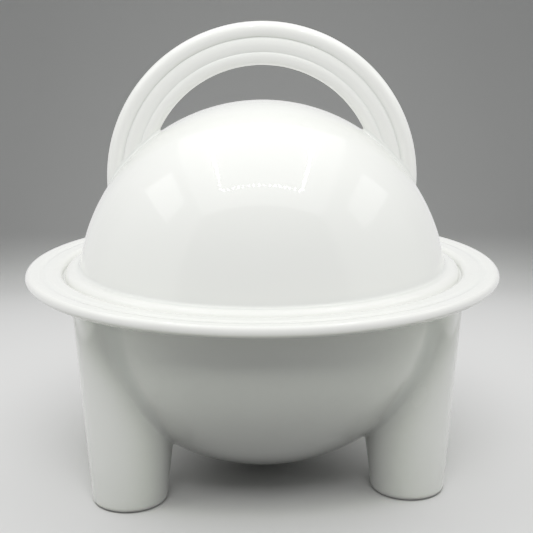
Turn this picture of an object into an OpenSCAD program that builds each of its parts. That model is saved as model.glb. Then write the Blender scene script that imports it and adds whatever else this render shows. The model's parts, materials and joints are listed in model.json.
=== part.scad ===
// Covered casserole dish in glazed white porcelain: a round bowl with a wide ribbed
// flange, three luted legs, a domed lid that lifts off and a ribbed arch handle on the lid.
// Millimetres, +Z up. The origin is on the table under the middle of the bowl, the handle
// runs along X and the front of the dish faces -Y.

/* [Flange] */
// Diameter of the flange
flange_d = 300; // [290:1:320]
// Height of the flange's top above the table
flange_top = 137.4; // [137:0.1:138]
// Thickness of the flange
flange_t = 6.8; // [6:0.1:8]
// Width of the flange from its edge to the lid's seat
flange_w = 23.1; // [22.5:0.1:24]
// Distance of the channel's middle from the flange's edge
channel_in = 10.5; // [10:0.1:12]
// Width of the shallow channel round the flange
channel_w = 5; // [4:0.1:6]
// Depth of the channel
channel_depth = 0.5; // [0.3:0.1:0.8]

/* [Bowl] */
// Outer radius of the bowl
bowl_r = 125.2; // [123:0.1:126]
// Thickness of the bowl wall
bowl_wall = 6; // [5:0.1:6.5]
// Height of the ledge that the lid rests on
seat_z = 132.8; // [132.2:0.1:133.2]

/* [Lid] */
// Radius of the dome where its side is upright
dome_r = 118; // [117:0.1:118.2]
// Height at which the dome's side is upright
dome_centre_z = 118.8; // [117:0.1:120]
// Height of the dome's top above the table
dome_top_z = 240.4; // [237:0.1:244]
// Thickness of the lid
lid_wall = 5.5; // [4.5:0.1:6]
// Gap around the lid's rim
rim_gap = 1.1; // [0.7:0.1:1.5]
// Radius of the lid's quarter-round rim
rim_round = 5.8; // [5:0.1:6]
// Radius of the hollow between the rim and the dome
rim_fillet = 2; // [1.5:0.1:2.5]
// How far the locating skirt drops into the bowl
skirt_drop = 7.5; // [5:0.5:12]
// Gap between the skirt and the bowl wall
skirt_gap = 1.2; // [0.8:0.1:2]

/* [Handle] */
// Outer radius of the arch
arch_r = 98; // [95:0.1:100]
// Inner radius of the arch
arch_inner_r = 71.5; // [69:0.1:73]
// Height of the arch's centre above the table
arch_centre_z = 190.7; // [187:0.1:194]
// Thickness of the arch from front to back
arch_t = 11; // [10:0.1:12]

/* [Legs] */
// Distance from the bowl's axis to the middle of a foot
foot_orbit = 101; // [98:0.5:104]
// Radius of a foot
foot_r = 22.8; // [21:0.1:25]
// How far a leg's radius grows for each millimetre of height
leg_taper = 0.097; // [0.08:0.001:0.1]
// Inward lean of a leg's axis, in degrees
leg_lean = 2; // [1:0.1:3]
// Turn of the three legs about the bowl's axis, in degrees
leg_turn = 5.2; // [0:0.1:15]
// Rounding of a foot's edge
foot_round = 3.5; // [2:0.1:4]
// Wall of a hollow leg
leg_wall = 5; // [4:0.1:6]
// Radius of the vent hole in a foot
vent_r = 3; // [2:0.1:4]

/* [Hidden] */
$fn = 180;
far = 200;
flange_r = flange_d / 2;
flange_bottom = flange_top - flange_t;
seat_r = flange_r - flange_w;
seat_round = flange_top - seat_z;
channel_round = (channel_w * channel_w / 4 + channel_depth * channel_depth) / (2 * channel_depth);
rim_r = seat_r - rim_gap;
rim_top = seat_z + rim_round;
bowl_inner_r = bowl_r - bowl_wall;
edge_round = flange_t / 2 + 0.2;
dome_rise = dome_top_z - dome_centre_z;
join_angle = 45;
dome_shift = (dome_rise - dome_r) / (1 + tan(join_angle) - 1 / cos(join_angle));
dome_side_r = dome_r + dome_shift;
dome_cap_r = dome_rise - dome_shift * tan(join_angle);
dome_cap_z = dome_centre_z + dome_shift * tan(join_angle);
fillet_z = rim_top + rim_fillet;
fillet_in_r = sqrt(pow(dome_side_r + rim_fillet, 2) - pow(fillet_z - dome_centre_z, 2)) - dome_shift;
fillet_dip = 0.1;
skirt_bottom = seat_z - skirt_drop;
skirt_r = bowl_inner_r - skirt_gap;
skirt_t = 5.8;
arch_outer_bead = arch_t / 2;
arch_inner_bead = arch_t / 2 - 0.3;
arch_outer_rib_w = 9.8;
arch_inner_rib_w = 7.8;
arch_groove_depth = 1.5;
arch_crown_drop = 0.2;
arch_spread = 12;
foot_floor = 6;
foot_recess = 0.8;
foot_ring_w = 8;
leg_top_solid = 12;

// The flange's section: rounded edge, shallow channel and a rounded shoulder down to the seat
module flange() {
    edge_in_r = flange_r - edge_round;
    shoulder_r = seat_r + seat_round;
    floor_r = bowl_inner_r + 1;
    difference() {
        intersection() {
            union() {
                translate([floor_r, flange_bottom]) square([shoulder_r - floor_r, seat_z - flange_bottom]);
                translate([shoulder_r, seat_z]) circle(seat_round);
                translate([shoulder_r, flange_bottom]) square([edge_in_r - shoulder_r, flange_t]);
                translate([edge_in_r, flange_top - flange_t / 2]) circle(edge_round);
            }
            translate([floor_r, flange_bottom]) square([far, flange_t]);
        }
        translate([flange_r - channel_in, flange_top + channel_round - channel_depth]) circle(channel_round);
    }
}

module bowl() {
    color("white") rotate_extrude() {
        difference() {
            intersection() {
                translate([0, seat_z]) circle(bowl_r);
                square([far, seat_z]);
            }
            translate([0, seat_z]) circle(bowl_inner_r);
        }
        flange();
    }
}

// Outline of the dome, inset from its outer surface
module dome_outline(inset) {
    intersection() {
        square([far, 2 * far]);
        union() {
            translate([0, dome_cap_z]) circle(dome_cap_r - inset);
            intersection() {
                translate([-dome_shift, dome_centre_z]) circle(dome_side_r - inset);
                translate([-dome_shift, dome_centre_z])
                    polygon([[0, 0], [far, far * tan(join_angle)], [far, -far], [0, -far]]);
            }
        }
    }
}

module lid() {
    color("white") rotate_extrude() {
        difference() {
            union() {
                intersection() {
                    dome_outline(0);
                    translate([0, seat_z]) square([far, far]);
                }
                rim();
                dome_fillet();
            }
            dome_outline(lid_wall);
        }
        skirt();
    }
}

// The quarter-round rim, flat underneath where it rests on its seat
module rim() {
    round_r = rim_r - rim_round;
    translate([dome_r - lid_wall, seat_z]) square([round_r - dome_r + lid_wall, rim_round]);
    intersection() {
        translate([round_r, seat_z]) circle(rim_round);
        translate([round_r, seat_z]) square(rim_round);
    }
}

// Concave fillet from the rim up to the dome, cut by a disc that dips just past both
module dome_fillet() {
    centre = [fillet_in_r - fillet_dip, fillet_z - fillet_dip];
    corner = [dome_r - lid_wall, rim_top - 1];
    difference() {
        translate(corner) square(centre - corner);
        translate(centre) circle(rim_fillet);
    }
}

// The locating skirt below the rim
module skirt() {
    bead_r = skirt_t / 2;
    translate([skirt_r - bead_r, skirt_bottom + bead_r]) circle(bead_r);
    translate([skirt_r - skirt_t, skirt_bottom + bead_r]) square([skirt_t, skirt_drop + 1 - bead_r]);
}

// Section of the arch: a full round bead on each edge and a crowned rib between them
module arch_section() {
    inner_groove_r = arch_inner_r + arch_inner_rib_w;
    outer_groove_r = arch_r - arch_outer_rib_w;
    difference() {
        translate([arch_r - arch_outer_bead, 0]) circle(arch_outer_bead);
        translate([0, -far / 2]) square([outer_groove_r, far]);
    }
    arch_crown(inner_groove_r, outer_groove_r);
    mirror([0, 1]) arch_crown(inner_groove_r, outer_groove_r);
    difference() {
        translate([arch_inner_r + arch_inner_bead, 0]) circle(arch_inner_bead);
        translate([inner_groove_r, -far / 2]) square([far, far]);
    }
}

// One side of the middle rib, which falls from its crest by fall at each groove
module arch_crown(from_r, to_r) {
    top = arch_t / 2 - arch_crown_drop;
    fall = arch_groove_depth - arch_crown_drop;
    half_w = (to_r - from_r) / 2;
    crown_r = (half_w * half_w / fall + fall) / 2;
    intersection() {
        translate([from_r, -1]) square([to_r - from_r, top + 2]);
        translate([from_r + half_w, top - crown_r]) circle(crown_r);
    }
}

module lid_handle() {
    color("white") difference() {
        translate([0, 0, arch_centre_z]) rotate([90, 0, 0])
            rotate_extrude(start = -arch_spread, angle = 180 + 2 * arch_spread) arch_section();
        rotate_extrude() dome_outline(0);
    }
}

// Upright shape that trims a leaning leg to a flat, rounded foot
module foot_trim() {
    rotate_extrude() polygon(concat(
        [[0, 0], [foot_r - foot_round, 0]],
        [for (a = [-75 : 15 : -30]) [foot_r - foot_round * (1 - cos(a)), foot_round * (1 + sin(a))]],
        [[foot_r + far * tan(30), far], [0, far]]
    ));
}

// A cone that leans in towards the bowl's axis, with its radius measured at the table
module leaning_cone(r, from_z, to_z) {
    rotate([0, -leg_lean, 0]) translate([0, 0, from_z])
        cylinder(h = to_z - from_z, r1 = r + leg_taper * from_z, r2 = r + leg_taper * to_z);
}

// One hollow leg, standing at angle from the front of the dish
module leg(angle) {
    rotate([0, 0, angle - 90]) difference() {
        translate([foot_orbit, 0, 0]) difference() {
            intersection() {
                leaning_cone(foot_r, -5, flange_top + 5);
                foot_trim();
                translate([-far / 2, -far / 2, 0]) cube([far, far, flange_bottom]);
            }
            difference() {
                leaning_cone(foot_r - leg_wall, -5, flange_bottom - leg_top_solid);
                translate([-far / 2, -far / 2, -far + foot_floor]) cube([far, far, far]);
            }
            translate([0, 0, -1]) cylinder(h = foot_floor + 2, r = vent_r);
            translate([0, 0, -1]) cylinder(h = foot_recess + 1, r = foot_r - foot_round - foot_ring_w);
        }
        translate([0, 0, seat_z]) sphere(bowl_r);
    }
}

module leg_left() {
    color("white") leg(leg_turn - 60);
}

module leg_right() {
    color("white") leg(leg_turn + 60);
}

module leg_rear() {
    color("white") leg(leg_turn + 180);
}

bowl();
leg_left();
leg_right();
leg_rear();
lid();
lid_handle();
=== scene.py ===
"""Looks of a covered casserole dish in glazed white porcelain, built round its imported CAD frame.

The bowl, each leg, the lid and the arch handle are one closed mesh each. Shapes are worked out in
millimetres in the frame's own axes (+Z up, the arch along X, the front towards -Y) and become
metres when a mesh is made.
"""
import json
import math
import bpy
import numpy as np
from mathutils import Matrix, Quaternion, Vector


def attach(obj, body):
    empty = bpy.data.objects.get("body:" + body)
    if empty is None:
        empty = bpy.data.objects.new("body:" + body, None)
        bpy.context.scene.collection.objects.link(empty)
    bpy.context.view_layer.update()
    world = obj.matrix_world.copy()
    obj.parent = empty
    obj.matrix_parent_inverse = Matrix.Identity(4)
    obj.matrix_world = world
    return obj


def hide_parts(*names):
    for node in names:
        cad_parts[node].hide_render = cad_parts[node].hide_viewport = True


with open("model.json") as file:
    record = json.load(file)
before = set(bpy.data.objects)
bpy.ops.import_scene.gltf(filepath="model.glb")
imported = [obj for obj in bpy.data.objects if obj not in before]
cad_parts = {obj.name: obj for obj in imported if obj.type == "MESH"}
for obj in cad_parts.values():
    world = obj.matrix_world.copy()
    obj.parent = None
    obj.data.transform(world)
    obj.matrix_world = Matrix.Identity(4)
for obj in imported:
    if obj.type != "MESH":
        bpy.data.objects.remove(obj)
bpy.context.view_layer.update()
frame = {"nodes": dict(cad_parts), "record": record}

MM = 0.001


def node_points(node):
    """The points of a CAD node, in millimetres."""
    mesh = frame["nodes"][node].data
    points = np.empty(len(mesh.vertices) * 3, np.float32)
    mesh.vertices.foreach_get("co", points)
    return points.reshape(-1, 3).astype(float) / MM


def reach(node):
    """The largest distance of a CAD node from the bowl's axis."""
    points = node_points(node)
    return float(np.hypot(points[:, 0], points[:, 1]).max())


# Sizes read from the frame
bowl_points = node_points("bowl")
lid_points = node_points("lid")
arch_points = node_points("lid_handle")
FLANGE_R = reach("bowl")
FLANGE_TOP = float(bowl_points[:, 2].max())
BOWL_BOTTOM = float(bowl_points[:, 2].min())
RIM_R = reach("lid")
SKIRT_BOTTOM = float(lid_points[:, 2].min())
DOME_TOP = float(lid_points[:, 2].max())
ARCH_R = float(np.ptp(arch_points[:, 0])) / 2
ARCH_T = float(np.ptp(arch_points[:, 1]))
ARCH_Z = float(arch_points[:, 2].max()) - ARCH_R

# Flange and bowl
FLANGE_T = 6.8
FLANGE_BOTTOM = FLANGE_TOP - FLANGE_T
EDGE_ROUND = FLANGE_T / 2 + 0.2
SEAT_R = FLANGE_R - 23.1
SEAT_Z = FLANGE_TOP - 4.6
CHANNEL_R = FLANGE_R - 10.5
CHANNEL_HALF = 3.2
CHANNEL_DEPTH = 0.5
BOWL_R = SEAT_Z - BOWL_BOTTOM
BOWL_WALL = 6.0
BOWL_INNER_R = BOWL_R - BOWL_WALL
UNDER_FILLET = 4.0

# Lid
RIM_ROUND = 5.8
RIM_FILLET = 2.0
DOME_R = 118.0
DOME_Z = SEAT_Z - 14.0
LID_WALL = 5.5
SKIRT_R = BOWL_INNER_R - 1.2
SKIRT_T = 5.8
DOME_RISE = DOME_TOP - DOME_Z
DOME_JOIN = math.radians(45)
DOME_SHIFT = (DOME_RISE - DOME_R) / (1 + math.tan(DOME_JOIN) - 1 / math.cos(DOME_JOIN))
DOME_SIDE_R = DOME_R + DOME_SHIFT
DOME_CAP_R = DOME_RISE - DOME_SHIFT * math.tan(DOME_JOIN)
DOME_CAP_Z = DOME_Z + DOME_SHIFT * math.tan(DOME_JOIN)

# The unglazed ring under the lid's rim: how far from the rim's edge and the skirt it starts, how
# softly, and within what height of the seat
BARE_MARGIN = 0.8
BARE_FADE = 0.6
BARE_HEIGHT = 0.3

# Arch handle: beads along its outer and inner edge, and a crowned rib between two grooves. Where its
# grooves are filled, half its thickness grows outwards by ARCH_TAPER for each millimetre.
ARCH_INNER_R = ARCH_R - 26.5
ARCH_OUTER_BEAD = ARCH_T / 2
ARCH_INNER_BEAD = ARCH_T / 2 - 0.3
ARCH_OUTER_BEAD_R = ARCH_R - ARCH_OUTER_BEAD
ARCH_INNER_BEAD_R = ARCH_INNER_R + ARCH_INNER_BEAD
ARCH_OUTER_GROOVE_R = ARCH_R - 9.8
ARCH_INNER_GROOVE_R = ARCH_INNER_R + 7.8
ARCH_CROWN = ARCH_T / 2 - 0.2
ARCH_GROOVE_HALF = ARCH_T / 2 - 1.5
ARCH_TAPER = 0.02

# Fillet between arch and dome: its radius at the arch's edges and on its faces, the length over
# which the grooves run out, and how deep the glaze lies in it, which darkens it as painted shade
ARCH_FILLET_EDGE = 0.9
ARCH_FILLET_FACE = 1.7
ARCH_FADE = 1.0
ARCH_FILLET_GLAZE_AND_SHADE = 0.7

# Legs
FOOT_RING_MID = 15.3
FOOT_R = 22.8
FOOT_ROUND = 3.5
FOOT_RECESS = 0.8
FOOT_RECESS_R = 11.3
FOOT_RECESS_SLOPE = 0.6
FOOT_RING_R = FOOT_RECESS_R + 1.5
FOOT_EDGE_GLAZE = -0.5
FOOT_BARE_FADE = (0.12, 0.3)
VENT_R = 3.0
VENT_DEPTH = 14.0
LEG_TAPER = 0.097
LEG_LEAN = math.radians(2)
LEG_AROUND = 280

# Places along a leg: LEG_CLEAR above its foot's rounding it is clear of the dish, and at LEG_BURIED
# it is inside the dish all round. Its hidden end lies at most LEG_INSET under the bowl's surface.
LEG_CLEAR = 5
LEG_BURIED = FLANGE_BOTTOM + 4
LEG_INSET = 2.5

# A leg's blend into the dish: its reach over the leg and over the dish, under the flange, beside the
# leg and behind it, the angles round the leg, in degrees, between which one gives way to the next,
# and how deep the glaze lies in it, which darkens the blend as painted shade
LEG_BLEND_FLANGE = (3.0, 3.0)
LEG_BLEND_SIDE = (3.8, 7.0)
LEG_BLEND_CROTCH = (1.4, 3.0)
LEG_SIDE_TURN = (28, 52)
LEG_CROTCH_TURN = (80, 150)
LEG_BLEND_GLAZE_AND_SHADE = 0.6

# Where a blend's edge goes on: how far along the other surface, and how far under it
TUCK = ((0.7, 0.03), (1.4, 0.1), (2.1, 0.3), (1.2, 1.3), (-1.5, 2.2))

# How finely outlines are worked out, and how far corners are rounded, by thick glaze and by thin
OUTLINE_STEP = 0.15
GLAZE_ROUND = 0.4
CRISP_ROUND = 0.2
TURN_STEP = math.radians(4)
LENGTH_STEP = 3.5
HALVINGS = 44

# How far round a corner glaze pools, with painted shade, or thins, and how strongly
POOL_WIDTH = 1.1
POOL_SAMPLES = 24
POOL_GAIN = 0.6

# Unevenness from the kiln, and the heights between which it sets in
WARP = 0.16
WARP_START = 5
WARP_FULL = 65


# ---------------------------------------------------------------------------------- outlines


def arc(centre, radius, start, end, count=24):
    """Points along an arc; the angles are in degrees."""
    angles = np.radians(np.linspace(start, end, count))
    return [(centre[0] + radius * math.cos(a), centre[1] + radius * math.sin(a)) for a in angles]


def crown_height(r, top, crest_r, edge_r, fall):
    """Height of a crowned rib at radius r: top at its crest, and fall below that at its edge."""
    span = abs(edge_r - crest_r)
    radius = 0.5 * (span * span / fall + fall)
    return top - radius + np.sqrt(radius * radius - (r - crest_r) ** 2)


def soften(points, sigma=GLAZE_ROUND, closed=False):
    """An evenly spaced copy of an outline with its corners rounded, as glaze rounds them. An open
    outline is continued at both ends by its mirror image in the axis, which is right only where it
    starts or ends on the axis. A foot's outline ends off it, so its last points fold back inwards."""
    points = np.array(points, float)
    if closed:
        points = np.vstack([points, points[:1]])
    steps = np.hypot(*np.diff(points, axis=0).T)
    along = np.concatenate([[0], np.cumsum(steps)])
    count = int(round(along[-1] / OUTLINE_STEP))
    even = np.linspace(0, along[-1], count, endpoint=not closed)
    fine = np.column_stack([np.interp(even, along, points[:, i]) for i in range(2)])
    half = int(4 * sigma / OUTLINE_STEP)
    kernel = np.exp(-0.5 * (np.arange(-half, half + 1) * OUTLINE_STEP / sigma) ** 2)
    kernel /= kernel.sum()
    if closed:
        padded = np.vstack([fine[-half:], fine, fine[:half]])
    else:
        mirror = np.array([-1.0, 1.0])
        padded = np.vstack([fine[half:0:-1] * mirror, fine, fine[-2:-half - 2:-1] * mirror])
    return np.column_stack([np.convolve(padded[:, i], kernel, mode="valid") for i in range(2)])


def glaze_depth_and_shade(points, closed=False):
    """Where glaze pools and painted shade darkens (towards 1, in hollows) and where it thins (towards -1,
    on edges).
    """
    if closed:
        before, after = np.roll(points, 1, 0), np.roll(points, -1, 0)
    else:
        before = np.vstack([points[:1], points[:-1]])
        after = np.vstack([points[1:], points[-1:]])
    a, b = points - before, after - points
    turn = np.arctan2(a[:, 0] * b[:, 1] - a[:, 1] * b[:, 0], (a * b).sum(1))
    offsets = np.arange(-POOL_SAMPLES, POOL_SAMPLES + 1)
    kernel = np.exp(-0.5 * (offsets * OUTLINE_STEP / POOL_WIDTH) ** 2)
    padded = np.pad(turn, POOL_SAMPLES, mode="wrap" if closed else "edge")
    spread = np.convolve(padded, kernel, mode="valid")
    # Positive depth pools the glaze and paints shade into hollows
    return np.clip(-POOL_GAIN * spread, -1, 1)


def thin(points, *values):
    """The outline with fewer points: close together where it turns, far apart where it's straight.
    The ends stay. Values that go with the points are thinned alike."""
    kept, turned = [0], 0.0
    for i in range(1, len(points) - 1):
        a, b = points[i] - points[i - 1], points[i + 1] - points[i]
        turned += abs(math.atan2(a[0] * b[1] - a[1] * b[0], float(a @ b)))
        if turned > TURN_STEP or np.hypot(*(points[i] - points[kept[-1]])) > LENGTH_STEP:
            kept.append(i)
            turned = 0.0
    kept.append(len(points) - 1)
    return (points[kept],) + tuple(v[kept] for v in values)


def fade(values, start, end):
    """Smoothly from 0 at start to 1 at end."""
    t = np.clip((values - start) / (end - start), 0, 1)
    return t * t * (3 - 2 * t)


# ------------------------------------------------------------------------------------ meshes


def kiln_warp(points):
    """The slight unevenness of a fired piece: a smooth shift of a fraction of a millimetre that is
    the same for every piece and fades out at the feet, so that pieces still meet."""
    x, y, z = points[..., 0], points[..., 1], points[..., 2]
    share = WARP * fade(z, WARP_START, WARP_FULL)
    shift = np.stack([
        np.sin(y / 61 + 0.4) * np.cos(z / 74 + 1.1) + 0.4 * np.sin(y / 27 + z / 33),
        np.sin(x / 66 + 2.0) * np.cos(z / 69 - 0.6) + 0.4 * np.sin(x / 29 - z / 31),
        np.sin(x / 58 + 0.9) * np.cos(y / 64 + 0.3),
    ], -1)
    return points + share[..., None] * shift


def closed_shell(name, rings, first, last, depth, bare):
    """A closed mesh from rings of points with a single point at each end. depth and bare hold the
    glaze's depth, whose pooling also paints shade, and the unglazed share at each point of each ring."""
    count, around = rings.shape[:2]
    points = np.vstack([[first], rings.reshape(-1, 3), [last]])
    mesh = bpy.data.meshes.new(name)
    j = np.arange(around)
    k = (j + 1) % around
    starts = 1 + np.arange(count - 1)[:, None] * around
    quads = np.stack([starts + j, starts + k, starts + around + k, starts + around + j], -1)
    end = 1 + (count - 1) * around
    faces = [(0, int(b) + 1, int(a) + 1) for a, b in zip(j, k)] + quads.reshape(-1, 4).tolist()
    faces += [(end + int(a), end + int(b), len(points) - 1) for a, b in zip(j, k)]
    mesh.from_pydata((kiln_warp(points) * MM).tolist(), [], faces)
    mesh.validate()
    mesh.polygons.foreach_set("use_smooth", [True] * len(mesh.polygons))
    for key, values in (("glaze_depth_and_shade", depth), ("bare", bare)):
        values = np.broadcast_to(values, (count, around)).reshape(-1)
        data = np.concatenate([values[:1], values, values[-1:]]).astype(np.float32)
        mesh.attributes.new(key, "FLOAT", "POINT").data.foreach_set("value", data)
    piece = bpy.data.objects.new(name, mesh)
    bpy.context.scene.collection.objects.link(piece)
    return piece


def turned_shell(name, outline, depth, bare, around=360):
    """A closed mesh from an outline turned round the bowl's axis. The outline starts and ends on it."""
    angles = np.linspace(0, 2 * math.pi, around, endpoint=False)
    ring = np.stack([np.cos(angles), np.sin(angles)], -1)
    inner, inner_depth, inner_bare = outline[1:-1], depth[1:-1], bare[1:-1]
    rings = np.empty((len(inner), around, 3))
    rings[..., :2] = inner[:, None, :1] * ring
    rings[..., 2] = inner[:, 1:]
    first, last = (0, 0, outline[0, 1]), (0, 0, outline[-1, 1])
    return closed_shell(name, rings, first, last, inner_depth[:, None], inner_bare[:, None])


# -------------------------------------------------------------------------------- bowl and lid


def bowl_outline():
    """Outer wall, flange with its shallow channel, seat for the lid and inner wall."""
    ball = BOWL_R + UNDER_FILLET
    ball_r = math.sqrt(ball ** 2 - (SEAT_Z - FLANGE_BOTTOM + UNDER_FILLET) ** 2)
    lean = math.degrees(math.atan2(SEAT_Z - FLANGE_BOTTOM + UNDER_FILLET, ball_r))
    points = arc((0, SEAT_Z), BOWL_R, -90, -lean, 90)
    points += arc((ball_r, FLANGE_BOTTOM - UNDER_FILLET), UNDER_FILLET, 180 - lean, 90, 14)
    clip = math.degrees(math.asin(FLANGE_T / 2 / EDGE_ROUND))
    points += arc((FLANGE_R - EDGE_ROUND, FLANGE_TOP - FLANGE_T / 2), EDGE_ROUND, -clip, clip, 50)
    for r in np.linspace(CHANNEL_R + CHANNEL_HALF, CHANNEL_R - CHANNEL_HALF, 40):
        sag = 0.5 + 0.5 * math.cos(math.pi * (r - CHANNEL_R) / CHANNEL_HALF)
        points.append((r, FLANGE_TOP - CHANNEL_DEPTH * sag))
    shoulder = FLANGE_TOP - SEAT_Z
    points += arc((SEAT_R + shoulder, SEAT_Z), shoulder, 90, 180, 30)
    return points + arc((0, SEAT_Z), BOWL_INNER_R, 0, -90, 90)


def build_bowl():
    """The bowl with its flange, turned in one piece."""
    outline = soften(bowl_outline())
    outline[0, 0] = outline[-1, 0] = 0
    outline, depth = thin(outline, glaze_depth_and_shade(outline))
    return turned_shell("bowl_shell", outline, depth, np.zeros(len(outline)))


def dome_arc(inset, start, end, count):
    """Points on the dome's outline between two heights' angles, inset from its outer surface."""
    points = []
    join = math.degrees(DOME_JOIN)
    for angle in np.linspace(start, end, count):
        a = math.radians(angle)
        if angle >= join:
            radius = DOME_CAP_R - inset
            points.append((radius * math.cos(a), DOME_CAP_Z + radius * math.sin(a)))
        else:
            radius = DOME_SIDE_R - inset
            points.append((radius * math.cos(a) - DOME_SHIFT, DOME_Z + radius * math.sin(a)))
    return points


def lid_outline():
    """Inner dome, locating skirt, quarter-round rim, fillet and outer dome."""
    seat_angle = math.degrees(math.asin((SEAT_Z - DOME_Z) / (DOME_SIDE_R - LID_WALL)))
    bead = SKIRT_T / 2
    points = dome_arc(LID_WALL, 90, seat_angle, 100)
    points += arc((SKIRT_R - bead, SKIRT_BOTTOM + bead), bead, 180, 360, 24)
    points.append((SKIRT_R, SEAT_Z))
    points += arc((RIM_R - RIM_ROUND, SEAT_Z), RIM_ROUND, 0, 90, 40)
    centre_z = SEAT_Z + RIM_ROUND + RIM_FILLET
    ball = DOME_SIDE_R + RIM_FILLET
    lean = math.asin((centre_z - DOME_Z) / ball)
    centre_r = ball * math.cos(lean) - DOME_SHIFT
    points += arc((centre_r, centre_z), RIM_FILLET, 270, 180 + math.degrees(lean), 20)
    return points + dome_arc(0, math.degrees(lean), 90, 120)[1:]


def build_lid():
    """The hollow dome with its rim and skirt, turned in one piece, and unglazed where it rests."""
    outline = soften(lid_outline())
    outline[0, 0] = outline[-1, 0] = 0
    outline, depth = thin(outline, glaze_depth_and_shade(outline))
    r, z = outline.T
    inner, outer = SKIRT_R + BARE_MARGIN, RIM_R - BARE_MARGIN
    under_rim = fade(r, inner, inner + BARE_FADE) * (1 - fade(r, outer - BARE_FADE, outer))
    bare = under_rim * (np.abs(z - SEAT_Z) < BARE_HEIGHT)
    return turned_shell("lid_shell", outline, depth, bare)


# --------------------------------------------------------------------------- surfaces to meet


def dome_distance(points):
    """Distance outside the lid's dome."""
    r = np.hypot(points[..., 0], points[..., 1])
    z = points[..., 2]
    cap = np.hypot(r, z - DOME_CAP_Z) - DOME_CAP_R
    side = np.hypot(r + DOME_SHIFT, z - DOME_Z) - DOME_SIDE_R
    return np.where(z - DOME_CAP_Z >= r * math.tan(DOME_JOIN), cap, side)


def dish_distance(points):
    """Distance outside the bowl and below the flange, which meet in a fillet."""
    wall = np.linalg.norm(points - np.array([0, 0, SEAT_Z]), axis=-1) - BOWL_R
    under = FLANGE_BOTTOM - points[..., 2]
    inside = np.hypot(np.maximum(UNDER_FILLET - wall, 0), np.maximum(UNDER_FILLET - under, 0))
    return np.maximum(UNDER_FILLET, np.minimum(wall, under)) - inside


def surface_normal(distance, points):
    """Unit gradient of a distance function."""
    step = 0.01
    slopes = [distance(points + step * axis) - distance(points - step * axis) for axis in np.eye(3)]
    normal = np.stack(slopes, -1)
    return normal / np.linalg.norm(normal, axis=-1, keepdims=True)


def meet(excess, outside, inside):
    """Where excess falls to 0 between a value outside the surface and one inside it."""
    outside, inside = np.array(outside, float), np.array(inside, float)
    for _ in range(HALVINGS):
        middle = (outside + inside) / 2
        far = excess(middle) > 0
        outside, inside = np.where(far, middle, outside), np.where(far, inside, middle)
    return (outside + inside) / 2


def rolled_fillet(centres, radius, from_normals, to_normals, count):
    """Rows of points on the fillet a ball leaves, from one surface to the other."""
    cosine = np.clip((from_normals * to_normals).sum(-1, keepdims=True), -1, 1)
    angle = np.arccos(cosine)
    rows = []
    for t in np.linspace(0, 1, count + 1)[1:]:
        mixed = np.sin((1 - t) * angle) * from_normals + np.sin(t * angle) * to_normals
        mixed /= np.sin(angle)
        rows.append(centres - radius[:, None] * mixed)
    return rows


def tucked_rows(contact, normals, from_normals):
    """Rows that carry a blend's edge on along the other surface and then down under it."""
    away = from_normals - (from_normals * normals).sum(-1, keepdims=True) * normals
    away /= np.linalg.norm(away, axis=-1, keepdims=True)
    return [contact + along * away - under * normals for along, under in TUCK]


# ---------------------------------------------------------------------------------------- legs


def foot_outline():
    """Underside of a foot, from the end of its vent out to the flat ring. A known fault: softened,
    its end folds back over the recess in a flat sheet, which hides the recess from below."""
    points = [(0, VENT_DEPTH), (VENT_R, VENT_DEPTH), (VENT_R, FOOT_RECESS)]
    points.append((FOOT_RECESS_R - FOOT_RECESS_SLOPE, FOOT_RECESS))
    return points + [(FOOT_RECESS_R, 0), (FOOT_RING_R, 0)]


def leg_blend(phi):
    """How far a leg's blend reaches over the leg and over the dish, by the angle round the leg from
    its outer side: even under the flange, drawn out over the bowl at the sides, tight at the back."""
    turn = np.degrees(np.abs((phi + math.pi) % (2 * math.pi) - math.pi))
    side = fade(turn, *LEG_SIDE_TURN)
    crotch = fade(turn, *LEG_CROTCH_TURN)
    reaches = []
    for under_flange, beside, behind in zip(LEG_BLEND_FLANGE, LEG_BLEND_SIDE, LEG_BLEND_CROTCH):
        reaches.append(under_flange + side * (beside - under_flange) + crotch * (behind - beside))
    return reaches


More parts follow.
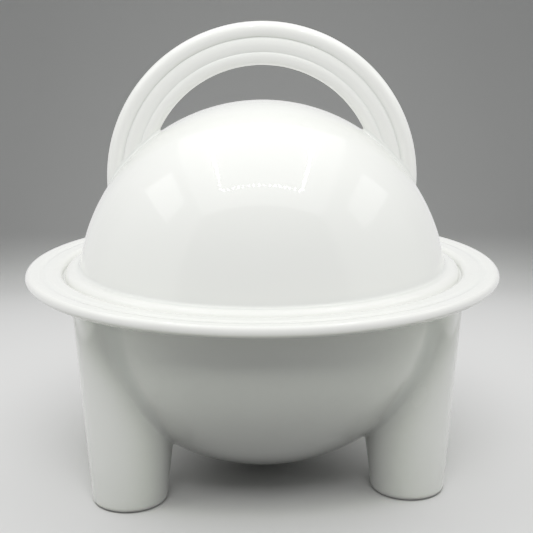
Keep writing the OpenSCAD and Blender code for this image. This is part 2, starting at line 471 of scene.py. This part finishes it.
def build_leg(name, foot_mount):
    """A leaning, tapered leg with a rounded foot, blended into the bowl and the flange."""
    direction = np.array(foot_mount["pos_m"], float)
    orbit = np.linalg.norm(direction) / MM - FOOT_RING_MID
    direction /= np.linalg.norm(direction)
    sideways = np.cross([0, 0, 1], direction)
    foot = orbit * direction
    axis = math.cos(LEG_LEAN) * np.array([0, 0, 1]) - math.sin(LEG_LEAN) * direction
    outward = math.cos(LEG_LEAN) * direction + math.sin(LEG_LEAN) * np.array([0, 0, 1])
    phi = np.linspace(0, 2 * math.pi, LEG_AROUND, endpoint=False)
    spokes = np.cos(phi)[:, None] * outward + np.sin(phi)[:, None] * sideways
    flat_spokes = np.cos(phi)[:, None] * direction + np.sin(phi)[:, None] * sideways
    leg_normals = (spokes - LEG_TAPER * axis) / math.hypot(1, LEG_TAPER)

    def on_cone(s):
        return foot + s[:, None] * axis + (FOOT_R + LEG_TAPER * s)[:, None] * spokes

    def at_height(z):
        climb = np.cos(phi) * math.sin(LEG_LEAN)
        return (z - FOOT_R * climb) / (math.cos(LEG_LEAN) + LEG_TAPER * climb)

    rows, depths, bares = [], [], []

    def add(row, depth=0.0, bare=0.0):
        rows.append(row)
        depths.append(np.broadcast_to(depth, LEG_AROUND))
        bares.append(np.broadcast_to(bare, LEG_AROUND))

    underside = thin(soften(foot_outline(), CRISP_ROUND))[0]
    for r, z in underside[1:]:
        add(foot + r * flat_spokes + np.array([0, 0, z]), bare=1.0)
    corner = on_cone(at_height(0))
    ring_edge = corner - FOOT_ROUND * flat_spokes
    add(ring_edge, bare=1.0)
    upper = on_cone(at_height(FOOT_ROUND))
    for t in np.linspace(0, 1, 11)[1:]:
        row = (1 - t) ** 2 * ring_edge + 2 * t * (1 - t) * corner + t * t * upper
        add(row, FOOT_EDGE_GLAZE * math.sin(math.pi * t), 1 - fade(t, *FOOT_BARE_FADE))

    over_leg, over_dish = leg_blend(phi)
    first_s = at_height(FOOT_ROUND)
    buried = np.full(LEG_AROUND, LEG_BURIED)

    def blend_row(bend):
        off_leg, off_dish = over_dish * (1 - math.cos(bend)), over_leg * (1 - math.sin(bend))

        def place(s):
            return on_cone(s) + off_leg[:, None] * leg_normals

        return place, meet(lambda s: dish_distance(place(s)) - off_dish, first_s + LEG_CLEAR, buried)

    last_s = blend_row(0)[1]
    for t in np.linspace(0, 1, 45)[1:]:
        add(on_cone(first_s + t * (last_s - first_s)))
    for bend in np.linspace(0, math.pi / 2, 17)[1:]:
        place, s = blend_row(bend)
        # Pooled glaze in the blend, also painted shade where the leg meets the dish
        add(place(s), LEG_BLEND_GLAZE_AND_SHADE * math.sin(2 * bend))
    dish_normals = surface_normal(dish_distance, rows[-1])
    for row in tucked_rows(rows[-1], dish_normals, leg_normals):
        add(row)

    # Rings that close the hidden end, each at share t of the way out from its middle
    bowl_centre = np.array([0, 0, SEAT_Z])
    middle = rows[-1].mean(0)
    middle = bowl_centre + (middle - bowl_centre) * (BOWL_R / np.linalg.norm(middle - bowl_centre))
    for t in (0.75, 0.5, 0.25):
        row = middle + t * (rows[-1] - middle) / (t + 0.25)
        spread = np.linalg.norm(row - bowl_centre, axis=-1, keepdims=True)
        add(bowl_centre + (row - bowl_centre) * np.maximum(1, (BOWL_R - LEG_INSET) / spread))
    first = foot + np.array([0, 0, VENT_DEPTH])
    return closed_shell(name, np.array(rows), first, middle, np.array(depths), np.array(bares))


# -------------------------------------------------------------------------------- arch handle


def arch_half_widths(rho, ribbed):
    """Half the arch's thickness at radius rho: ribbed, or with the grooves filled."""
    outer = np.sqrt(np.maximum(ARCH_OUTER_BEAD ** 2 - (rho - ARCH_OUTER_BEAD_R) ** 2, 0))
    inner = np.sqrt(np.maximum(ARCH_INNER_BEAD ** 2 - (rho - ARCH_INNER_BEAD_R) ** 2, 0))
    if not ribbed:
        width = np.where(rho > ARCH_OUTER_BEAD_R, outer, ARCH_OUTER_BEAD)
        width = np.minimum(width, ARCH_INNER_BEAD + (rho - ARCH_INNER_BEAD_R) * ARCH_TAPER)
        return np.where(rho < ARCH_INNER_BEAD_R, inner, width)
    middle = (ARCH_OUTER_GROOVE_R + ARCH_INNER_GROOVE_R) / 2
    inside = np.clip(rho, ARCH_INNER_GROOVE_R, ARCH_OUTER_GROOVE_R)
    fall = ARCH_CROWN - ARCH_GROOVE_HALF
    crown = crown_height(inside, ARCH_CROWN, middle, ARCH_OUTER_GROOVE_R, fall)
    width = np.where(rho > ARCH_OUTER_GROOVE_R, outer, crown)
    return np.where(rho < ARCH_INNER_GROOVE_R, inner, width)


def arch_section():
    """The arch's outline as radius and offset from its middle plane, ribbed and with the grooves
    filled, point for point, with the filled outline's normals and the glaze's depth, whose pooling
    in the grooves also paints shade there."""
    bend = np.radians(np.linspace(0, 90, 14))
    rho = np.concatenate([
        ARCH_OUTER_BEAD_R + ARCH_OUTER_BEAD * np.cos(bend),
        np.linspace(ARCH_OUTER_BEAD_R, ARCH_INNER_BEAD_R, 60)[1:-1],
        ARCH_INNER_BEAD_R - ARCH_INNER_BEAD * np.sin(bend),
    ])
    outlines = []
    for ribbed in (True, False):
        half = arch_half_widths(rho, ribbed)
        near = np.column_stack([rho, -half])
        far = np.column_stack([rho, half])[-2:0:-1]
        outlines.append(np.vstack([near, far]))
    ribbed, filled = outlines
    fine = soften(ribbed, CRISP_ROUND, closed=True)
    depth_fine = -glaze_depth_and_shade(fine, closed=True)
    nearest = [int(np.argmin(((fine - p) ** 2).sum(1))) for p in ribbed]
    ribbed, depth = fine[nearest], depth_fine[nearest]
    tangent = np.roll(filled, -1, 0) - np.roll(filled, 1, 0)
    normals = np.column_stack([-tangent[:, 1], tangent[:, 0]])
    normals /= np.linalg.norm(normals, axis=1, keepdims=True)
    return ribbed, filled, normals, depth


def build_arch():
    """The ribbed arch, with a fillet at each end that fills its grooves and meets the dome."""
    ribbed, filled, normals, depth = arch_section()
    radius = ARCH_FILLET_EDGE + (ARCH_FILLET_FACE - ARCH_FILLET_EDGE) * normals[:, 1] ** 2

    def on_arch(section, angle):
        rho, offset = section[:, 0], section[:, 1]
        return np.stack([rho * np.cos(angle), offset, ARCH_Z + rho * np.sin(angle)], -1)

    def ball_gap(angle):
        return dome_distance(on_arch(filled + radius[:, None] * normals, angle)) - radius

    count = len(ribbed)
    clear, buried = math.radians(70), math.radians(-20)
    foot_angle = meet(ball_gap, np.full(count, clear), np.full(count, buried))
    centres = on_arch(filled + radius[:, None] * normals, foot_angle)
    section_normals = on_arch(normals, foot_angle) - on_arch(np.zeros_like(normals), foot_angle)
    dome_normals = surface_normal(dome_distance, centres)
    foot_rows = rolled_fillet(centres, radius, section_normals, dome_normals, 8)
    # Pooled glaze in the fillet, also painted shade where arch meets dome
    foot_depths = [np.full(count, ARCH_FILLET_GLAZE_AND_SHADE)] * len(foot_rows)
    tucks = tucked_rows(foot_rows[-1], dome_normals, section_normals)
    foot_rows += tucks
    foot_depths += [np.zeros(count)] * len(tucks)

    rows, depths = [], []
    steps = 220
    for i in range(steps + 1):
        angle = foot_angle + (math.pi - 2 * foot_angle) * i / steps
        from_foot = filled[:, 0] * np.minimum(angle - foot_angle, math.pi - foot_angle - angle)
        share = fade(from_foot, 0.0, ARCH_FADE)[:, None]
        rows.append(on_arch(filled + share * (ribbed - filled), angle))
        depths.append(ARCH_FILLET_GLAZE_AND_SHADE + share[:, 0] * (depth - ARCH_FILLET_GLAZE_AND_SHADE))
    mirror = np.array([-1.0, 1.0, 1.0])
    right, left = foot_rows[::-1], [row * mirror for row in foot_rows]
    rings = np.array(right + rows + left)[::-1]
    ring_depths = np.array(foot_depths[::-1] + depths + foot_depths)[::-1]
    first, last = rings[0].mean(0), rings[-1].mean(0)
    return closed_shell("arch_handle", rings, first, last, ring_depths, np.zeros(1))


# ----------------------------------------------------------------------------------- materials


# Linear colours of the glaze: where it is even, from one cloud to the next, where it pools, darker
# as painted shade in hollows, creases and fillets, and where it thins over an edge. Then the bare,
# fired body, from one grain to the next.
GLAZE_COLOURS = (0.855, 0.868, 0.825, 1), (0.885, 0.894, 0.855, 1)
# Pooled glaze colour: a cooler tint, and darker as painted shade in hollows, creases and fillets
POOLED_GLAZE_AND_SHADE_COLOUR = (0.7, 0.73, 0.69, 1)
THINNED_COLOUR = (0.92, 0.905, 0.865, 1)
BODY_COLOURS = (0.78, 0.76, 0.71, 1), (0.86, 0.84, 0.8, 1)
TINT = 0.5

# Roughness of the glaze, how much smears add to it, and roughness of the bare body
GLAZE_ROUGHNESS = 0.2
SMEAR = 0.1
BODY_ROUGHNESS = 0.75

# Bumps in the surface, in metres before BUMP_STRENGTH scales them: broad ripples and fine peel in
# the glaze, pinholes, and the grain of the bare body
RIPPLE = 0.00022
PEEL = 0.0000035
PINHOLE_DEPTH = 0.00003
GRAIN = 0.00006
BUMP_STRENGTH = 0.35

# Pinholes lie in cells: their radius as a share of a cell, and the share of cells without one
PINHOLE_RADIUS = 0.022
PINHOLE_RARITY = 0.86


def add_node(tree, kind, inputs=None, **settings):
    """A new shader node. Its inputs are values, or the outputs that they are linked to."""
    node = tree.nodes.new(kind)
    for key, value in settings.items():
        setattr(node, key, value)
    for key, value in (inputs or {}).items():
        if isinstance(value, bpy.types.NodeSocket):
            tree.links.new(value, node.inputs[key])
        else:
            node.inputs[key].default_value = value
    return node


def mix_colours(tree, share, a, b):
    """The colour between a and b; each argument is a value or an output."""
    node = add_node(tree, "ShaderNodeMix", data_type="RGBA")
    for socket, value in ((node.inputs["Factor"], share), (node.inputs[6], a), (node.inputs[7], b)):
        if isinstance(value, bpy.types.NodeSocket):
            tree.links.new(value, socket)
        else:
            socket.default_value = value
    return node.outputs[2]


def calc(tree, operation, a, b):
    """The output of one maths operation; a and b are values or outputs."""
    return add_node(tree, "ShaderNodeMath", {0: a, 1: b}, operation=operation).outputs[0]


def noise(tree, place, scale, detail=2.0):
    """Smooth noise from 0 to 1, with scale waves to the metre."""
    node = add_node(tree, "ShaderNodeTexNoise", {"Vector": place, "Scale": scale, "Detail": detail})
    return node.outputs["Fac"]


def porcelain():
    """White porcelain under a clear glaze: slightly cooler and greyer where the glaze pools, with painted
    shade darkening its hollows, creases and fillets, warmer and whiter where it thins on edges, faintly
    rippled, with a few pinholes, and matt where bare."""
    material = bpy.data.materials.new("glazed_porcelain")
    material.use_nodes = True
    tree = material.node_tree
    shader = tree.nodes["Principled BSDF"]
    place = add_node(tree, "ShaderNodeTexCoord").outputs["Object"]
    depth = add_node(tree, "ShaderNodeAttribute", attribute_name="glaze_depth_and_shade").outputs["Fac"]
    bare = add_node(tree, "ShaderNodeAttribute", attribute_name="bare").outputs["Fac"]
    pool_and_shade = calc(tree, "MAXIMUM", depth, 0.0)
    thinned = calc(tree, "MAXIMUM", calc(tree, "MULTIPLY", depth, -1.0), 0.0)

    cloud = noise(tree, place, 9.0, 3.0)
    colour = mix_colours(tree, cloud, *GLAZE_COLOURS)
    # Pooled glaze: a cooler tint, partly painted shade that darkens hollows, creases and fillets
    colour = mix_colours(tree, calc(tree, "MULTIPLY", pool_and_shade, TINT), colour, POOLED_GLAZE_AND_SHADE_COLOUR)
    colour = mix_colours(tree, calc(tree, "MULTIPLY", thinned, TINT), colour, THINNED_COLOUR)
    body_grain = noise(tree, place, 2600.0)
    body_colour = mix_colours(tree, body_grain, *BODY_COLOURS)
    colour = mix_colours(tree, bare, colour, body_colour)

    smear = noise(tree, place, 38.0, 3.0)
    smeared = calc(tree, "ADD", calc(tree, "MULTIPLY", smear, SMEAR), GLAZE_ROUGHNESS)
    blend = add_node(tree, "ShaderNodeMix", {"Factor": bare, 2: smeared, 3: BODY_ROUGHNESS})
    glazed = calc(tree, "SUBTRACT", 1.0, bare)

    ripple = noise(tree, place, 55.0)
    peel = noise(tree, place, 620.0)
    cells = add_node(tree, "ShaderNodeTexVoronoi", {"Vector": place, "Scale": 85.0})
    pinhole = calc(tree, "LESS_THAN", cells.outputs["Distance"], PINHOLE_RADIUS)
    chance = add_node(tree, "ShaderNodeSeparateColor", {"Color": cells.outputs["Color"]}).outputs[0]
    pinhole = calc(tree, "MULTIPLY", pinhole, calc(tree, "GREATER_THAN", chance, PINHOLE_RARITY))
    height = calc(tree, "MULTIPLY", ripple, RIPPLE)
    height = calc(tree, "ADD", height, calc(tree, "MULTIPLY", peel, PEEL))
    height = calc(tree, "SUBTRACT", height, calc(tree, "MULTIPLY", pinhole, PINHOLE_DEPTH))
    grain = calc(tree, "MULTIPLY", calc(tree, "MULTIPLY", body_grain, bare), GRAIN)
    height = calc(tree, "ADD", height, grain)
    bumpy = {"Height": height, "Strength": BUMP_STRENGTH, "Distance": 1.0}
    bump = add_node(tree, "ShaderNodeBump", bumpy)

    links = {
        "Base Color": colour,
        "Roughness": blend.outputs[0],
        "Coat Weight": glazed,
        "Normal": bump.outputs["Normal"],
        "Coat Normal": bump.outputs["Normal"],
    }
    for key, socket in links.items():
        tree.links.new(socket, shader.inputs[key])
    shader.inputs["IOR"].default_value = 1.5
    shader.inputs["Specular IOR Level"].default_value = 0.15
    shader.inputs["Coat Roughness"].default_value = 0.035
    shader.inputs["Coat IOR"].default_value = 1.52
    return material


# The floor's colour as it is seen, from one cloud to the next, and as it throws light back up
FLOOR_COLOURS = (0.7, 0.7, 0.69, 1), (0.72, 0.72, 0.71, 1)
FLOOR_BOUNCE = (0.35, 0.35, 0.35, 1)


def floor_material():
    """Pale matt paper. It sends little light back up, so that the underside stays in shade."""
    material = bpy.data.materials.new("pale_floor")
    material.use_nodes = True
    tree = material.node_tree
    shader = tree.nodes["Principled BSDF"]
    place = add_node(tree, "ShaderNodeTexCoord").outputs["Object"]
    seen = mix_colours(tree, noise(tree, place, 3.0), *FLOOR_COLOURS)
    diffuse_ray = add_node(tree, "ShaderNodeLightPath").outputs["Is Diffuse Ray"]
    colour = mix_colours(tree, diffuse_ray, seen, FLOOR_BOUNCE)
    tree.links.new(colour, shader.inputs["Base Color"])
    shader.inputs["Roughness"].default_value = 0.8
    shader.inputs["Specular IOR Level"].default_value = 0.1
    return material


# --------------------------------------------------------------------------------------- stage


# The floor and the backdrop that it sweeps up into, in metres like all of the stage
SWEEP_START = 0.75
SWEEP_RADIUS = 0.6
SWEEP_TOP = 2.0
SWEEP_HALF = 3.0
SWEEP_NEAR = -2.5


def build_floor():
    """A floor that sweeps up into a backdrop."""
    side = [(SWEEP_NEAR, 0), (SWEEP_START, 0)]
    side += arc((SWEEP_START, SWEEP_RADIUS), SWEEP_RADIUS, -90, 0, 32)[1:]
    side.append((SWEEP_START + SWEEP_RADIUS, SWEEP_TOP))
    points = [(x, y, z) for y, z in side for x in (-SWEEP_HALF, SWEEP_HALF)]
    faces = [(2 * i, 2 * i + 1, 2 * i + 3, 2 * i + 2) for i in range(len(side) - 1)]
    mesh = bpy.data.meshes.new("floor")
    mesh.from_pydata(points, [], faces)
    mesh.polygons.foreach_set("use_smooth", [True] * len(faces))
    mesh.materials.append(floor_material())
    floor = bpy.data.objects.new("floor", mesh)
    bpy.context.scene.collection.objects.link(floor)
    return floor


# The light box and its panels' powers in watts. The walls that the floor sees start at WALL_LIFT.
BOX_HALF = 0.38
BOX_HEIGHT = 0.66
BOX_BACK = 0.45
BOX_FRONT = -0.36
BOX_DEPTH = BOX_BACK - BOX_FRONT
BOX_MIDDLE = BOX_BACK - BOX_DEPTH / 2
CEILING_POWER = 1.61
LEFT_POWER = 0.73
RIGHT_POWER = 0.67
BACK_POWER = 0.61
WALL_LIFT = 0.16
LIFTED_GAIN = 1.45

# The brighter patches just inside the box's sides
PATCH_X = BOX_HALF - 0.01
LEFT_PATCH_PLACE = (-PATCH_X, -0.045, 0.483)
LEFT_PATCH_SIZE = (0.24, 0.16)
LEFT_PATCH_POWER = 0.1
RIGHT_PATCH_PLACE = (PATCH_X, -0.02, 0.435)
RIGHT_PATCH_SIZE = (0.26, 0.14)
RIGHT_PATCH_POWER = 0.075

# The softbox above the camera
KEY_PLACE = (0, -0.75, 1.0)
KEY_AIM = Vector((0, 0.75, -0.85)).normalized()
KEY_SIZE = (0.9, 0.5)
KEY_POWER = 4.58

# The square ring of small lamps
RING_HALF = 0.205
RING_LAMPS = 16
RING_MIDDLE = -0.017
RING_DROP = 0.01
LAMP_ALONG = 0.007
LAMP_ACROSS = 0.014
LAMP_GLOW = 30.0

# Light from all round
WORLD_COLOUR = (0.9, 0.92, 0.93, 1)
WORLD_GLOW = 0.18


def panel(name, place, facing, size, power):
    """A rectangular soft light that shines along facing."""
    light = bpy.data.lights.new(name, "AREA")
    light.shape = "RECTANGLE"
    light.size, light.size_y = size
    light.energy = power
    lamp = bpy.data.objects.new(name, light)
    bpy.context.scene.collection.objects.link(lamp)
    back = -Vector(facing)
    up = Vector((0, 1, 0)) if abs(back.z) > 0.9 else Vector((0, 0, 1))
    across = up.cross(back)
    turn = Matrix((across, up, back)).transposed()
    lamp.matrix_world = Matrix.Translation(place) @ turn.to_4x4()
    return lamp


def build_lamp_ring():
    """A square ring of small lamps under the ceiling, which only shows as reflections."""
    points, faces = [], []
    z = BOX_HEIGHT - RING_DROP
    for side in range(4):
        turn = Matrix.Rotation(side * math.pi / 2, 3, "Z")
        for n in range(RING_LAMPS):
            along = RING_HALF * (2 * (n + 0.5) / RING_LAMPS - 1)
            start = len(points)
            for a, b in ((-1, -1), (-1, 1), (1, 1), (1, -1)):
                corner = Vector((along + a * LAMP_ALONG / 2, RING_HALF + b * LAMP_ACROSS / 2, z))
                points.append(turn @ corner + Vector((0, RING_MIDDLE, 0)))
            faces.append(range(start, start + 4))
    mesh = bpy.data.meshes.new("lamp_ring")
    mesh.from_pydata(points, [], faces)
    glow = bpy.data.materials.new("lamp_glow")
    glow.use_nodes = True
    tree = glow.node_tree
    emission = add_node(tree, "ShaderNodeEmission", {"Strength": LAMP_GLOW})
    tree.links.new(emission.outputs[0], tree.nodes["Material Output"].inputs["Surface"])
    mesh.materials.append(glow)
    ring = bpy.data.objects.new("lamp_ring", mesh)
    bpy.context.scene.collection.objects.link(ring)
    ring.visible_camera = ring.visible_diffuse = ring.visible_shadow = False


def light_only(name, receivers, lamps):
    """Lets some lamps reach only the given objects."""
    group = bpy.data.collections.new(name)
    for receiver in receivers:
        group.objects.link(receiver)
    for lamp in lamps:
        lamp.light_linking.receiver_collection = group


def box_walls(name, lift, gain):
    """The glowing sides and back of the light box, from a height above the floor up."""
    height = BOX_HEIGHT - lift
    z = lift + height / 2
    side, back = (BOX_DEPTH, height), (2 * BOX_HALF, height)
    gain *= height / BOX_HEIGHT
    return [
        panel(name + "_left", (-BOX_HALF, BOX_MIDDLE, z), (1, 0, 0), side, LEFT_POWER * gain),
        panel(name + "_right", (BOX_HALF, BOX_MIDDLE, z), (-1, 0, 0), side, RIGHT_POWER * gain),
        panel(name + "_back", (0, BOX_BACK, z), (0, -1, 0), back, BACK_POWER * gain),
    ]


def build_lights(pieces, floor):
    """A light box with an open front, with a brighter patch on each side and a ring of small lamps,
    and a softbox above the camera that leaves no reflection. The floor sees walls that start
    higher up, so that it shows no hard edge where they stand."""
    above = (0, BOX_MIDDLE, BOX_HEIGHT)
    ceiling = panel("ceiling", above, (0, 0, -1), (2 * BOX_HALF, BOX_DEPTH), CEILING_POWER)
    walls = box_walls("wall", 0, 1)
    walls.append(panel("left_patch", LEFT_PATCH_PLACE, (1, 0, 0), LEFT_PATCH_SIZE, LEFT_PATCH_POWER))
    walls.append(panel("right_patch", RIGHT_PATCH_PLACE, (-1, 0, 0), RIGHT_PATCH_SIZE, RIGHT_PATCH_POWER))
    lifted_walls = box_walls("lifted_wall", WALL_LIFT, LIFTED_GAIN)
    light_only("lit_by_walls", pieces, walls)
    light_only("lit_by_lifted_walls", [floor], lifted_walls)
    for lamp in [ceiling] + walls + lifted_walls:
        lamp.visible_camera = False
    key = panel("key", KEY_PLACE, KEY_AIM, KEY_SIZE, KEY_POWER)
    key.visible_glossy = False
    build_lamp_ring()
    world = bpy.data.worlds.new("studio")
    world.use_nodes = True
    background = world.node_tree.nodes["Background"]
    background.inputs["Color"].default_value = WORLD_COLOUR
    background.inputs["Strength"].default_value = WORLD_GLOW
    bpy.context.scene.world = world


# The view's brightness curve, as light in and light shown: mid tones are lifted, and 0.82 is white
RESPONSE = ((0, 0), (0.033, 0.034), (0.1, 0.106), (0.214, 0.242), (0.38, 0.558), (0.6, 0.78), (0.82, 1))


def build_response():
    """Sets the view's brightness curve."""
    view = bpy.context.scene.view_settings
    view.view_transform = "Standard"
    view.use_curve_mapping = True
    mapping = view.curve_mapping
    mapping.extend = "EXTRAPOLATED"
    curve = mapping.curves[3]
    curve.points[0].location = RESPONSE[0]
    curve.points[1].location = RESPONSE[-1]
    for x, y in RESPONSE[1:-1]:
        curve.points.new(x, y)
    mapping.update()


# The camera looks along +Y and down, at a point near the dish's middle
CAMERA_ELEVATION = math.radians(13.44)
CAMERA_DISTANCE = 0.7
CAMERA_LENS = 73.1
CAMERA_SENSOR = 36
CAMERA_ROLL = math.radians(-0.19)
CAMERA_AIM = Vector((0.0027, 0.0, 0.1339))


def build_camera():
    """The scene's camera, with lens and sensor width in millimetres."""
    data = bpy.data.cameras.new("camera")
    data.lens = CAMERA_LENS
    data.sensor_width = CAMERA_SENSOR
    camera = bpy.data.objects.new("camera", data)
    bpy.context.scene.collection.objects.link(camera)
    back = Vector((0, -math.cos(CAMERA_ELEVATION), math.sin(CAMERA_ELEVATION)))
    camera.location = CAMERA_AIM + CAMERA_DISTANCE * back
    camera.rotation_mode = "QUATERNION"
    roll = Quaternion((0, 0, 1), CAMERA_ROLL)
    camera.rotation_quaternion = (-back).to_track_quat("-Z", "Y") @ roll
    bpy.context.scene.camera = camera


# ---------------------------------------------------------------------------------- the object


def place_piece(piece, node, body, material):
    """Gives a piece its material and its body, and hides the CAD node that it stands for."""
    piece.data.materials.append(material)
    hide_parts(node)
    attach(piece, body)
    return piece


glaze = porcelain()
mounts = {m["name"]: m for m in frame["record"]["mounts"]}
pieces = [place_piece(build_bowl(), "bowl", "dish", glaze)]
for side in ("left", "right", "rear"):
    leg = build_leg("leg_" + side + "_shell", mounts["foot_" + side])
    pieces.append(place_piece(leg, "leg_" + side, "dish", glaze))
pieces.append(place_piece(build_lid(), "lid", "cover", glaze))
pieces.append(place_piece(build_arch(), "lid_handle", "cover", glaze))

build_lights(pieces, build_floor())
build_camera()
build_response()
